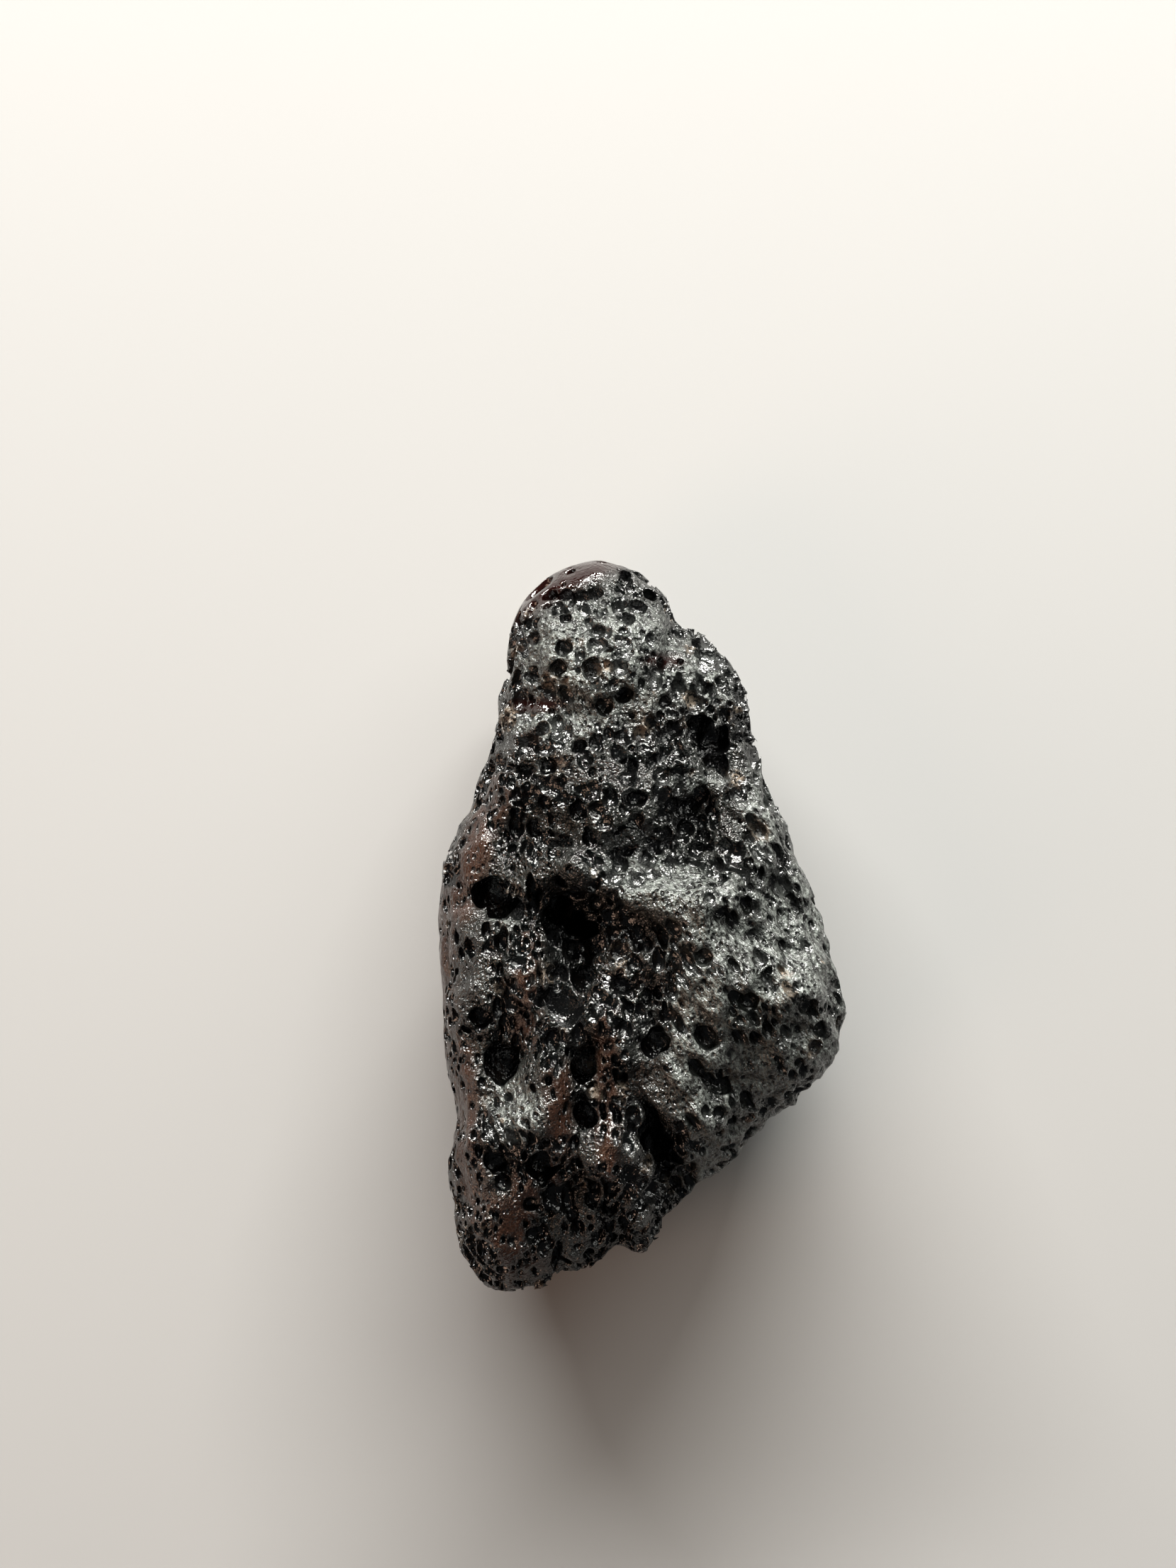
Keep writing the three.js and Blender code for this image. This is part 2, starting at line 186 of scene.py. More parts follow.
def box_of_quads(steps):
    """Even quads on a box from -1 to 1: its corners, and the four corners of each quad."""
    corners, quads, made = [], [], 0
    for axis in range(3):
        u_axis, v_axis = (axis + 1) % 3, (axis + 2) % 3
        u, v = np.meshgrid(*(np.linspace(-1, 1, steps[way] + 1) for way in (u_axis, v_axis)), indexing="ij")
        for side in (-1, 1):
            face = np.empty((u.size, 3))
            face[:, axis] = side
            face[:, u_axis] = u.ravel()
            face[:, v_axis] = v.ravel()
            number = made + np.arange(u.size).reshape(u.shape)
            quad = np.stack([number[:-1, :-1], number[1:, :-1], number[1:, 1:], number[:-1, 1:]], axis=-1)
            quads.append(quad.reshape(-1, 4)[:, ::side])
            corners.append(face)
            made += u.size
    corners, same = np.unique(np.concatenate(corners).round(9), axis=0, return_inverse=True)
    return corners, same.ravel()[np.concatenate(quads)]


def ball_from_box(corners):
    """Directions out of the middle, for a box's corners blown up to a ball."""
    x, y, z = (corners**2).T
    squares = [1 - y / 2 - z / 2 + y * z / 3, 1 - z / 2 - x / 2 + z * x / 3, 1 - x / 2 - y / 2 + x * y / 3]
    blown = corners * np.sqrt(np.column_stack(squares))
    return blown / np.linalg.norm(blown, axis=1, keepdims=True)


def split_short(points, quads):
    """Each quad as two triangles, split along its shorter diagonal."""
    a, b, c, d = quads.T
    across = np.linalg.norm(points[a] - points[c], axis=1) < np.linalg.norm(points[b] - points[d], axis=1)
    one = np.where(across[:, None], np.column_stack([a, b, c]), np.column_stack([a, b, d]))
    other = np.where(across[:, None], np.column_stack([a, c, d]), np.column_stack([b, c, d]))
    return np.concatenate([one, other])


def mesh_piece(name, points, faces):
    """A mesh object from points in millimetres."""
    mesh = bpy.data.meshes.new(name)
    mesh.from_pydata(points * MM, [], np.asarray(faces).tolist())
    mesh.update()
    piece = bpy.data.objects.new(name, mesh)
    bpy.context.scene.collection.objects.link(piece)
    return piece


def points_of(mesh):
    """A mesh's points, in millimetres."""
    flat = np.empty(3 * len(mesh.vertices))
    mesh.vertices.foreach_get("co", flat)
    return flat.reshape(-1, 3) / MM


def normals_of(mesh):
    """The way that a mesh faces at its points."""
    flat = np.empty(3 * len(mesh.vertices))
    mesh.vertex_normals.foreach_get("vector", flat)
    return flat.reshape(-1, 3)


# -- where its skin differs, seen from above --

# The edge where the dull right face begins, down the middle of the crown, and over how far it blends.
FACE_EDGE = [(1.1, -5.4), (0.6, -4.0), (0.75, -1.0), (0.45, 1.0)]
FACE_EDGE_BLEND = 0.5
# The face's far end: how far along the stone it lies at the edge, how it slants, and how it blends.
FACE_TOP = 0.9
FACE_TOP_START = 0.7
FACE_TOP_SLANT = 0.25
FACE_TOP_BLEND = 0.8
# Oval spots: x, y, half their width and half their height.
SATIN_SPOTS = [(-3.4, -4.9, 0.75, 0.95), (3.4, 3.0, 0.7, 1.6)]
PALE_SPOTS = [
    (-1.0, 7.2, 2.5, 1.7), (0.4, 1.2, 1.8, 0.75), (-2.2, 5.8, 1.4, 0.8), (1.6, 6.9, 1.0, 1.0),
    (1.3, 3.9, 0.9, 0.25), (-3.7, 0.2, 0.35, 0.45),
]
GLOSSY_SPOTS = [(-2.85, 6.0, 0.85, 0.22), (0.6, 7.2, 0.6, 0.2)]
HOLLOW_SPOTS = [(-1.95, 0.5, 1.15, 1.0), (-1.6, -0.5, 0.9, 0.8)]
HOLLOW_BLEND = 0.5  # towards the widest outline
CELL_SPOTS = [(-2.7, 4.4, 0.9, 1.4), (-1.6, -1.7, 1.3, 1.1)]
# The left edge of the pitted skin on the narrow end. Beyond it the skin is smooth.
TIP_EDGE = ((-3.43, 8.27), (-0.48, 9.83))
TIP_BLEND = 0.26
# Ribs of smooth glass that flowed along the left side: their lines and half widths.
FLOW_RIBS = [
    ([(-3.1, -0.4), (-3.15, -2.9)], 0.4),
    ([(-1.0, -2.3), (-0.9, -6.6)], 0.32),
    ([(-2.3, -3.8), (-2.2, -6.6)], 0.38),
    ([(-4.95, -3.4), (-4.6, -7.4)], 0.45),
    ([(-5.0, 0.6), (-3.9, 3.7)], 0.5),
    ([(-5.45, 0.9), (-5.4, -3.4)], 0.4),
    ([(-4.1, -7.9), (-3.3, -9.2)], 0.8),
    ([(-3.1, -6.8), (-3.4, -8.2)], 0.5),
]
# The right edge of the left side, where everything is drawn out along the stone.
LEFT_SIDE_EDGE = [(-0.4, -4), (-2.2, 1.5), (-3.3, 3.2)]
LEFT_SIDE_BLEND = 0.9
RIM_BAND = 0.9  # how far above and below the widest outline its band of skin reaches


def past(distance, over):
    """0 before an edge and 1 past it, changing over a distance."""
    return 1 / (1 + np.exp(np.clip(-4 * distance / over, -50, 50)))


def spots(table, points):
    """1 inside any oval spot, and 0 outside them."""
    spot = np.array(table)
    away = ((points[:, None, :2] - spot[:, :2]) / spot[:, 2:]) ** 2
    return np.exp(-(away.sum(axis=2) ** 2)).max(axis=1)


def satin(points):
    """1 where the glass is dull and grainy: the right face and a few spots."""
    x, y = points[:, 0], points[:, 1]
    edge_x, edge_y = np.transpose(FACE_EDGE)
    inside_edge = past(x - np.interp(y, edge_y, edge_x), FACE_EDGE_BLEND)
    below_top = past(FACE_TOP - y + FACE_TOP_SLANT * (x - FACE_TOP_START), FACE_TOP_BLEND)
    return np.maximum(inside_edge * below_top, spots(SATIN_SPOTS, points))


def flow(points):
    """1 on the smooth ribs."""
    shares = [np.exp(-((away_from_line(line, points) / wide) ** 4)) for line, wide in FLOW_RIBS]
    return np.maximum.reduce(shares) * (1 - satin(points))


def left_side(points):
    """1 on the left side, below the saddle."""
    edge_x, edge_y = np.transpose(LEFT_SIDE_EDGE)
    inside_edge = past(np.interp(points[:, 1], edge_y, edge_x) - points[:, 0], LEFT_SIDE_BLEND)
    return inside_edge * (1 - satin(points))


def pale(points):
    """1 where the skin is painted pale grey, partly for its own frost and partly as painted sheen: the dull
    glass and the pale spots, but not in the left hollow.
    """
    frost_and_sheen = np.maximum(satin(points), spots(PALE_SPOTS, points))
    return frost_and_sheen * (1 - smooth(points)) * (1 - hollow(points))


def near_rim(points):
    """1 at the widest outline's height, fading out above and below it."""
    return np.exp(-(((points[:, 2] - RIM_HEIGHT) / RIM_BAND) ** 2))


def hollow(points):
    """1 in the left hollow, where the glass is smooth and its colour is painted near black for the shade that
    falls there.
    """
    return spots(HOLLOW_SPOTS, points) * past(points[:, 2] - RIM_HEIGHT, HOLLOW_BLEND)


def smooth_tip(points):
    """1 on the smooth, unpitted skin at the left of the narrow end."""
    start, end = np.array(TIP_EDGE)
    out = np.array([start[1] - end[1], end[0] - start[0]])
    return past((points[:, :2] - start) @ out / np.linalg.norm(out), TIP_BLEND)


def smooth(points):
    """1 on the tip and in the two glossy spots."""
    return np.maximum(smooth_tip(points), spots(GLOSSY_SPOTS, points))


# -- its skin --
# The etched skin has knobs, finer grain that leans across the stone, and flow lines down its left side.

# Knobs and grain: how far apart they are, and how high.
KNOBS = [(1.1, 0.14), (0.5, 0.12)]
GRAIN = [(0.32, 0.15), (0.21, 0.075)]
GRAIN_LEAN = math.radians(33)
GRAIN_STRETCH = 2.2
FLOW_LINES = np.array([0.28, 2.2, 0.28])  # how far apart the flow lines are, each way
FLOW_HEIGHT = 0.08

# What share of their height they lose, and where.
KNOBS_LOST_ON_RIBS = 0.45
GRAIN_LOST_ON_RIBS = 0.5
GRAIN_LOST_ON_LEFT_SIDE = 0.55
LOST_ON_SMOOTH = 0.9
LINES_LOST_ON_SMOOTH = 0.6
LOST_AT_RIM = 0.3
BACK_SHARE = 0.7  # what is left of them all on the back
FLOOR_HOLD = 0.5  # they fade out below this height, so that the flat spot keeps its size
FLOOR_BLEND = 0.5


def noise_at(points):
    """Smooth noise, from about -1 to 1."""
    return np.array([noise.noise(Vector(point)) for point in points])


def etched_height(points):
    """The height that knobs, grain and flow lines add."""
    knobs = sum(high * noise_at(points / apart) for apart, high in KNOBS)
    leaning = points @ np.array(Matrix.Rotation(GRAIN_LEAN, 3, "Z"))
    grain = sum(high * noise_at(leaning / [apart, apart * GRAIN_STRETCH, apart]) for apart, high in GRAIN)
    ribs, plain, left = flow(points), smooth(points), left_side(points)
    lines = FLOW_HEIGHT * left * noise_at(points / FLOW_LINES)
    height = knobs * (1 - KNOBS_LOST_ON_RIBS * ribs) * (1 - LOST_ON_SMOOTH * plain)
    grain = grain * (1 - GRAIN_LOST_ON_RIBS * ribs) * (1 - GRAIN_LOST_ON_LEFT_SIDE * left)
    height += grain * (1 - LOST_ON_SMOOTH * plain)
    height += lines * (1 - LINES_LOST_ON_SMOOTH * plain)
    share = np.where(points[:, 2] < RIM_HEIGHT, BACK_SHARE, 1) * (1 - LOST_AT_RIM * near_rim(points))
    return height * share * past(points[:, 2] - FLOOR_HOLD, FLOOR_BLEND)


corners, quads = box_of_quads(SKIN_STEPS)
skin_points, _ = skin(ball_from_box(corners))
stone = mesh_piece("tektite_glass", skin_points, split_short(skin_points, quads))
etched = skin_points + normals_of(stone.data) * etched_height(skin_points)[:, None]
stone.data.vertices.foreach_set("co", (etched * MM).ravel())
stone.data.update()

# -- its bubbles --
# Gas bubbles were frozen into the glass. Those at the skin burst or were etched open into round pits, many
# of them deep and run together. Some are drawn out along the stone, or along the grain on the right face.

# Seen from above: x, y, radius, and how much longer the bubble is along the stone than across it.
CROWN_PITS = [
    (-0.45, 8.25, 0.3, 1), (-2.1, 7.5, 0.26, 1), (-0.95, 7.3, 0.25, 1), (-3.05, 7.0, 0.3, 0.7),
    (-1.3, 6.9, 0.34, 1), (-2.25, 7.0, 0.27, 1), (-0.55, 6.4, 0.3, 1), (1.5, 6.15, 0.33, 1),
    (-2.4, 5.45, 0.3, 1), (1.6, 5.35, 0.42, 1), (2.1, 5.2, 0.45, 1.2),
    (1.8, 4.85, 0.42, 1), (2.3, 4.45, 0.4, 1.3), (-3.15, 4.95, 0.38, 0.75),
    (0.4, 4.45, 0.32, 1), (-2.6, 4.4, 0.27, 1), (-3.15, 4.15, 0.38, 0.8), (-0.4, 4.05, 0.3, 1),
    (1.55, 3.6, 0.34, 1), (-3.05, 3.35, 0.26, 1), (-1.7, 3.2, 0.3, 1), (1.0, 2.7, 0.3, 1),
    (2.6, 2.0, 0.36, 1), (-2.4, 1.95, 0.28, 1), (-4.3, 0.9, 0.56, 1), (-3.9, 0.45, 0.44, 1),
    (-2.95, 1.1, 0.34, 1.8), (-1.75, 0.45, 0.6, 1), (2.05, 0.4, 0.26, 1), (1.6, -0.75, 0.26, 1),
    (3.15, -0.75, 0.28, 1.4), (-0.6, -0.6, 0.3, 1), (-4.5, -0.5, 0.25, 1.4), (-3.25, -0.9, 0.26, 1),
    (-1.45, -1.4, 0.42, 1), (-0.5, -1.5, 0.34, 0.7), (2.85, -1.95, 0.3, 1), (4.35, -2.1, 0.3, 1),
    (-2.2, -2.1, 0.5, 1), (-4.4, -2.4, 0.34, 1), (0.5, -3.2, 0.4, 1), (1.8, -2.9, 0.36, 1.3),
    (-3.55, -3.15, 0.24, 1.9), (-3.9, -3.75, 0.52, 1), (-1.65, -3.85, 0.55, 1), (2.25, -4.25, 0.38, 1.3),
    (-1.5, -5.2, 0.5, 1), (1.5, -5.85, 0.3, 1), (-2.75, -6.25, 0.5, 1), (-4.0, -6.3, 0.36, 1),
    (-0.3, -6.6, 0.32, 1), (-2.5, -7.4, 0.38, 1.4), (0.3, -7.2, 0.36, 1), (-3.05, -8.45, 0.3, 1),
    (-4.3, -9.0, 0.24, 1), (-2.45, 0.6, 0.42, 1.3), (-2.45, -0.3, 0.38, 1), (0.42, -0.85, 0.26, 1.8),
    (0.5, -1.75, 0.24, 1.6), (0.1, -5.3, 0.5, 1.2), (0.35, -6.15, 0.48, 1.2), (-1.3, 0.1, 0.36, 1),
    (-1.9, 1.0, 0.3, 0.8), (-1.95, -0.6, 0.3, 1), (-1.2, 0.75, 0.26, 1),
]
# Smaller ones: x, y, radius.
SMALL_PITS = [
    (-4.75, -2.7, 0.19), (-4.1, -0.55, 0.16), (-3.4, -0.85, 0.17), (-3.2, -0.65, 0.19),
    (-2.4, -1.2, 0.23), (-2.5, -0.1, 0.27), (-2.35, 0.85, 0.35), (-1.25, -0.5, 0.43),
    (-0.65, -0.65, 0.27), (-2.85, -4.25, 0.19), (-2.95, -5.15, 0.16), (-1.55, -6.2, 0.23),
    (-3.1, -7.5, 0.23), (-3.55, -8.5, 0.14), (-3.75, -9.25, 0.19), (-4.35, -9.05, 0.17),
    (-1.65, 7.3, 0.17), (-0.85, 5.7, 0.16), (-2.6, 4.4, 0.23), (-3.1, 3.4, 0.23),
    (1.85, 2.55, 0.23), (1.1, 2.45, 0.23), (-0.85, 1.95, 0.16), (2.9, 1.1, 0.16),
    (2.05, 0.4, 0.19), (3.15, -0.75, 0.19), (3.05, -0.15, 0.16), (1.6, -0.7, 0.19),
    (3.4, -1.15, 0.17), (2.85, -1.95, 0.23), (3.5, -2.1, 0.16), (4.4, -2.1, 0.23),
    (2.35, 2.2, 0.27), (0.5, -3.2, 0.31), (1.8, -2.85, 0.27), (2.15, -3.0, 0.19),
    (2.4, -3.35, 0.19), (2.25, -4.25, 0.27), (2.05, -5.0, 0.23), (0.25, -4.3, 0.16),
    (2.95, -5.3, 0.16), (1.55, -5.85, 0.19), (1.1, -6.05, 0.14), (-0.25, -6.65, 0.23),
    (0.25, -7.2, 0.27),
]
DEEP_SINK = 0.5  # how far a bubble's centre lies under the skin, as a share of its radius
SATIN_SINK = 0.35  # on the right face
CAVE_RADIUS = 0.4  # pits from this size up open into wider and deeper caves
CAVE_SINK = 0.7
CAVE_WIDER = 1.2

# Bubbles on the sides and the back, spread evenly by a spiral over the whole skin. It leaves out the
# directions that rise over a limit, because the crown has its own, and those of the flat spot.
SPIRAL_PITS = 62
SPIRAL_RADII = [0.3, 0.42, 0.26, 0.6, 0.34, 0.28, 0.5]  # taken in turn
SPIRAL_TOP = 0.3
SPIRAL_BOTTOM = -0.93
SPIRAL_SINK = 0.18

# Small bubbles fill the skin between those. They come in crowds, and are fewer on the back, the ribs and the
# right face, in the left hollow and on the tip.
FILL_TRIES = 8500
FILL_SMALLEST = 0.084
FILL_LARGEST = 0.27
FILL_STEEPNESS = 1.9  # a larger number makes more of them small
FILL_FLOW_LARGEST = 0.13  # the largest on the smooth ribs
FILL_CELLS = 1.2  # how many times larger they are where the skin is a net of round cells
FILL_RIM_LARGEST = 0.13  # the largest at the widest outline, where a bite would show in it
FILL_RIM_GROWTH = 0.25  # how much larger they may be for each millimetre above or below it
FILL_SPACING = 0.68  # how far apart the centres are, as a share of the two radii
FILL_FLOOR = 0.35  # how far they stay above the flat spot

# How deep under the skin their centres lie, as a share of the radius, and how much longer they are than wide.
FILL_SINKS = (0.2, 0.7)
FILL_PALE_SINKS = (-0.1, 0.45)
FILL_STRETCHES = (0.8, 1.4)
FILL_LONGER_ON_LEFT_SIDE = 0.4
FILL_LONGER_ON_SATIN = 0.7

# What share of them is missing, and where, and how many more there are at the widest outline.
FILL_LOST_ON_PALE = 0.7
FILL_LOST_ON_SMOOTH = 0.97
FILL_LOST_ON_RIBS = 0.4
FILL_LOST_IN_HOLLOW = 0.8
FILL_BACK_SHARE = 0.5
FILL_BACK_START = 0.8  # how far below the widest outline the back begins
FILL_MORE_AT_RIM = 0.9

# Their crowds: how wide, how full between them, how much fuller in them, and how empty at least.
CROWD_SIZE = 1.3
CROWD_MEAN = 0.55
CROWD_SWING = 1.9
CROWD_LEAST = 0.06

# A bubble's lumps: how high, as a share of its radius, how fine, and how far apart their noise is taken.
BUBBLE_LUMPS = 0.2
BUBBLE_LUMP_FINENESS = 1.3
BUBBLE_NOISE_REACH = 50

Pit = namedtuple("Pit", "at facing radius stretch sink")
draw = np.random.default_rng(7)


def crown_directions(seen):
    """The directions whose skin points lie at places seen from above."""
    offset = seen - MIDDLE
    out = np.hypot(offset[:, 0], offset[:, 1])
    angle = np.arctan2(offset[:, 1], offset[:, 0])
    reach = np.minimum((out / rim_radius(angle)) ** (1 / CROWN_BLUNTNESS), 1)
    side = np.column_stack([np.cos(angle) / WIDTH, np.sin(angle) / LENGTH])
    side *= (reach / np.linalg.norm(side, axis=1))[:, None]
    return np.column_stack([side, np.sqrt(1 - reach**2)])


def crown_pits():
    """The pits of both tables, the larger of them as caves."""
    table = np.array(CROWN_PITS + [(*pit, 1) for pit in SMALL_PITS])
    points, facing = skin(crown_directions(table[:, :2]))
    caves = table[:, 2] >= CAVE_RADIUS
    radii = table[:, 2] * np.where(caves, CAVE_WIDER, 1)
    sinks = np.where(caves, CAVE_SINK, DEEP_SINK + (SATIN_SINK - DEEP_SINK) * satin(points))
    return [Pit(*values) for values in zip(points, facing, radii, table[:, 3], sinks)]


def spiral_pits():
    """The pits on the sides and the back."""
    turn = np.arange(SPIRAL_PITS) * math.pi * (3 - math.sqrt(5))
    z = 1 - (2 * np.arange(SPIRAL_PITS) + 1) / SPIRAL_PITS
    wide = np.sqrt(1 - z**2)
    kept = (z <= SPIRAL_TOP) & (z >= SPIRAL_BOTTOM)
    points, facing = skin(np.column_stack([wide * np.cos(turn), wide * np.sin(turn), z])[kept])
    radii = np.resize(SPIRAL_RADII, SPIRAL_PITS)[kept]
    return [Pit(at, face, radius, 1, SPIRAL_SINK) for at, face, radius in zip(points, facing, radii)]


def fill_places(mesh):
    """Random places all over a mesh, and the way that it faces there."""
    faces = np.array([face.vertices[:] for face in mesh.polygons])
    a, b, c = points_of(mesh)[faces].transpose(1, 0, 2)
    cross = np.cross(b - a, c - a)
    area = np.linalg.norm(cross, axis=1)
    middle = (a + b + c) / 3
    likely = area * (1 - FILL_LOST_ON_PALE * pale(middle))
    likely = likely * (1 - FILL_LOST_ON_SMOOTH * smooth(middle)) * (1 - FILL_LOST_ON_RIBS * flow(middle))
    on_crown = middle[:, 2] > RIM_HEIGHT - FILL_BACK_START
    likely *= np.where(on_crown, 1 - FILL_LOST_IN_HOLLOW * hollow(middle), FILL_BACK_SHARE)
    likely *= 1 + FILL_MORE_AT_RIM * near_rim(middle)
    likely *= np.clip(CROWD_MEAN + CROWD_SWING * noise_at(middle / CROWD_SIZE), CROWD_LEAST, None)
    chosen = draw.choice(len(area), FILL_TRIES, p=likely / likely.sum())
    share_a, share_b, share_c = draw.dirichlet([1, 1, 1], FILL_TRIES).T[:, :, None]
    places = share_a * a[chosen] + share_b * b[chosen] + share_c * c[chosen]
    return places, cross[chosen] / area[chosen][:, None]


def fill_pits(mesh, pits):
    """The pits given, and small ones between them, the larger ones placed first."""
    places, facing = fill_places(mesh)
    radii = FILL_SMALLEST * draw.uniform(0, 1, FILL_TRIES) ** (-1 / FILL_STEEPNESS)
    radii *= 1 + (FILL_CELLS - 1) * spots(CELL_SPOTS, places)
    radii = np.minimum(radii, FILL_LARGEST + (FILL_FLOW_LARGEST - FILL_LARGEST) * flow(places))
    radii = np.minimum(radii, FILL_RIM_LARGEST + FILL_RIM_GROWTH * np.abs(places[:, 2] - RIM_HEIGHT))
    deep = draw.uniform(*FILL_SINKS, FILL_TRIES)
    shallow = draw.uniform(*FILL_PALE_SINKS, FILL_TRIES)
    sinks = deep + (shallow - deep) * pale(places)
    longer = 1 + FILL_LONGER_ON_LEFT_SIDE * left_side(places) + FILL_LONGER_ON_SATIN * satin(places)
    stretches = draw.uniform(*FILL_STRETCHES, FILL_TRIES) * longer
    filled = list(pits)
    taken = np.array([pit.at for pit in pits] + [(0, 0, 0)] * FILL_TRIES)
    taken_radii = np.array([pit.radius for pit in pits] + [0] * FILL_TRIES)
    for number in np.argsort(-radii):
        pit = Pit(places[number], facing[number], radii[number], stretches[number], sinks[number])
        if pit.at[2] < FILL_FLOOR + pit.radius:
            continue
        count = len(filled)
        gap = np.linalg.norm(taken[:count] - pit.at, axis=1)
        if np.any(gap < FILL_SPACING * (taken_radii[:count] + pit.radius)):
            continue
        taken[count] = pit.at
        taken_radii[count] = pit.radius
        filled.append(pit)
    return filled


def round_ball(subdivisions):
    """A ball of even triangles."""
    bpy.ops.mesh.primitive_ico_sphere_add(subdivisions=subdivisions, radius=MM)
    ball = bpy.context.object
    points = points_of(ball.data)
    faces = np.array([face.vertices[:] for face in ball.data.polygons])
    bpy.data.objects.remove(ball)
    return points, faces


BALLS = [(0.15, round_ball(2)), (0.5, round_ball(3)), (2, round_ball(4))]  # finer ones for larger radii


def bubble(pit):
    """One bubble's points and faces: a lumpy ball, drawn out, with its centre under the skin."""
    points, faces = next(ball for largest, ball in BALLS if pit.radius < largest)
    turn = Matrix.Rotation(draw.uniform(0, 2 * math.pi), 3, Vector(draw.normal(size=3)))
    points = points @ np.array(turn)
    noise_place = draw.uniform(-BUBBLE_NOISE_REACH, BUBBLE_NOISE_REACH, 3)
    lumps = noise_at(points * BUBBLE_LUMP_FINENESS + noise_place)
    lean = Matrix.Rotation(GRAIN_LEAN * satin(pit.at[None])[0], 3, "Z")
    sizes = pit.radius * np.array([pit.stretch**-0.5, pit.stretch**0.5, 1])
    points = points * (1 + BUBBLE_LUMPS * lumps[:, None]) * sizes @ np.array(lean).T
    return points + pit.at - pit.facing * pit.radius * pit.sink, faces


CUT_ROUNDS = 9
CUT_ROOM = 1.6  # bubbles that are cut together are this many times the sum of their radii apart


def rounds_of_cuts(pits):
    """Sorts bubbles into rounds with none touching in a round. Those that fit in none are left out."""
    points = np.array([pit.at for pit in pits])
    reach = np.array([pit.radius * max(pit.stretch, 1 / pit.stretch) ** 0.5 for pit in pits])
    rounds = [[] for _ in range(CUT_ROUNDS)]
    for number in range(len(pits)):
        for members in rounds:
            gap = np.linalg.norm(points[members] - points[number], axis=1)
            if np.all(gap > CUT_ROOM * (reach[members] + reach[number])):
                members.append(number)
                break
    return [[pits[number] for number in members] for members in rounds]


def settle(piece, modifier):
    """Makes what a modifier does to a piece part of its mesh."""
    with bpy.context.temp_override(object=piece):
        bpy.ops.object.modifier_apply(modifier=modifier.name)


def cut_away(piece, points, faces, finish):
    """Cuts a shape out of a piece. The walls of the cut take a finish."""
    cutter = mesh_piece("cutter", points, faces)
    cutter.data.materials.append(finish)
    cut = piece.modifiers.new("cut", "BOOLEAN")
    cut.operation = "DIFFERENCE"
    cut.solver = "MANIFOLD"
    cut.material_mode = "TRANSFER"
    cut.object = cutter
    settle(piece, cut)
    bpy.data.objects.remove(cutter)


def cut_bubbles(piece, pits, finish):
    """Cuts every bubble out of a piece, round by round."""
    for members in rounds_of_cuts(pits):
        points, faces, made = [], [], 0
        for pit in members:
            bubble_points, bubble_faces = bubble(pit)
            points.append(bubble_points)
            faces.append(bubble_faces + made)
            made += len(bubble_points)
        cut_away(piece, np.concatenate(points), np.concatenate(faces), finish)


def thin_out(piece, triangles):
    """Joins the flattest triangles until no more than so many are left."""
    thin = piece.modifiers.new("thin out", "DECIMATE")
    thin.ratio = triangles / sum(len(face.vertices) - 2 for face in piece.data.polygons)
    settle(piece, thin)


def wear_down(piece):
    """Rounds a piece's edges a little."""
    wear = piece.modifiers.new("wear", "SMOOTH")
    wear.factor = WEAR
    wear.iterations = WEAR_TIMES
    settle(piece, wear)


MEND_TRIES = 4


def close_up(body):
    """Cuts out the few spots where a mesh doesn't close, and fills them again."""
    for _ in range(MEND_TRIES):
        torn = {vert for edge in body.edges if len(edge.link_faces) != 2 for vert in edge.verts}
        if not torn:
            return
        bmesh.ops.delete(body, geom=list(torn), context="VERTS")
        edges = [edge for edge in body.edges if edge.is_boundary]
        filled = bmesh.ops.holes_fill(body, edges=edges)
        bmesh.ops.triangulate(body, faces=filled["faces"])


def drop_chips(body):
    """Deletes the loose chips of glass that the cuts left."""
    parts = []
    waiting = set(body.verts)
    while waiting:
        part = [waiting.pop()]
        for vert in part:
            near = {edge.other_vert(vert) for edge in vert.link_edges} & waiting
            waiting -= near
            part.extend(near)
        parts.append(part)
    parts.sort(key=len)
    for part in parts[:-1]:
        bmesh.ops.delete(body, geom=part, context="VERTS")


TRIANGLES = 197000
WEAR = 0.38  # how far each point moves towards the middle of its neighbours, which rounds the pits' rims
WEAR_TIMES = 2

# A block that fills the space under the floor grinds the flat spot, and then the bubbles are cut.

pits = fill_pits(stone.data, [*crown_pits(), *spiral_pits()])
pit_walls = bpy.data.materials.new("pit_walls")
outer_skin = bpy.data.materials.new("outer_skin")
stone.data.materials.append(outer_skin)
stone.data.materials.append(pit_walls)
corners, quads = box_of_quads((1, 1, 1))
block = corners * [WIDTH, LENGTH, RIM_HEIGHT] - [0, 0, RIM_HEIGHT]
cut_away(stone, block, quads, outer_skin)
cut_bubbles(stone, pits, pit_walls)
thin_out(stone, TRIANGLES)
body = bmesh.new()
body.from_mesh(stone.data)
close_up(body)
drop_chips(body)
body.to_mesh(stone.data)
body.free()
wear_down(stone)
points = points_of(stone.data)
points[:, 2] = np.maximum(points[:, 2], 0)
stone.data.vertices.foreach_set("co", (points * MM).ravel())
stone.data.update()

# -- where its finish differs --

# Pits that hold dried tan soil, seen from above, and how far it spreads in them.
DIRTY_PITS = [
    (0.2, 6.15), (0, 5.75), (0, 5.35), (-3.6, 5.75), (1.3, 6.15), (-1.05, 7.0), (-0.55, -4.35),
    (-1.45, -3.7), (-4.3, -4.65), (-1.2, -4.4), (3.8, -1.25), (-2.55, 6.7), (-1.9, 6.6), (2.55, 4.1),
]
DIRT_REACH = 0.2
DIRT_ON_SKIN = 0.1  # how much of it lies on the skin around a pit
DIRT_SHARE = 0.04  # how many of the small crown pits hold some too
DIRT_LARGEST = 0.3  # the radius under which a pit is a small one
DIRT_THICKNESS = 0.8  # in the small pits
DIRT_FILL = 1.1  # and how far it spreads there, as a share of the radius


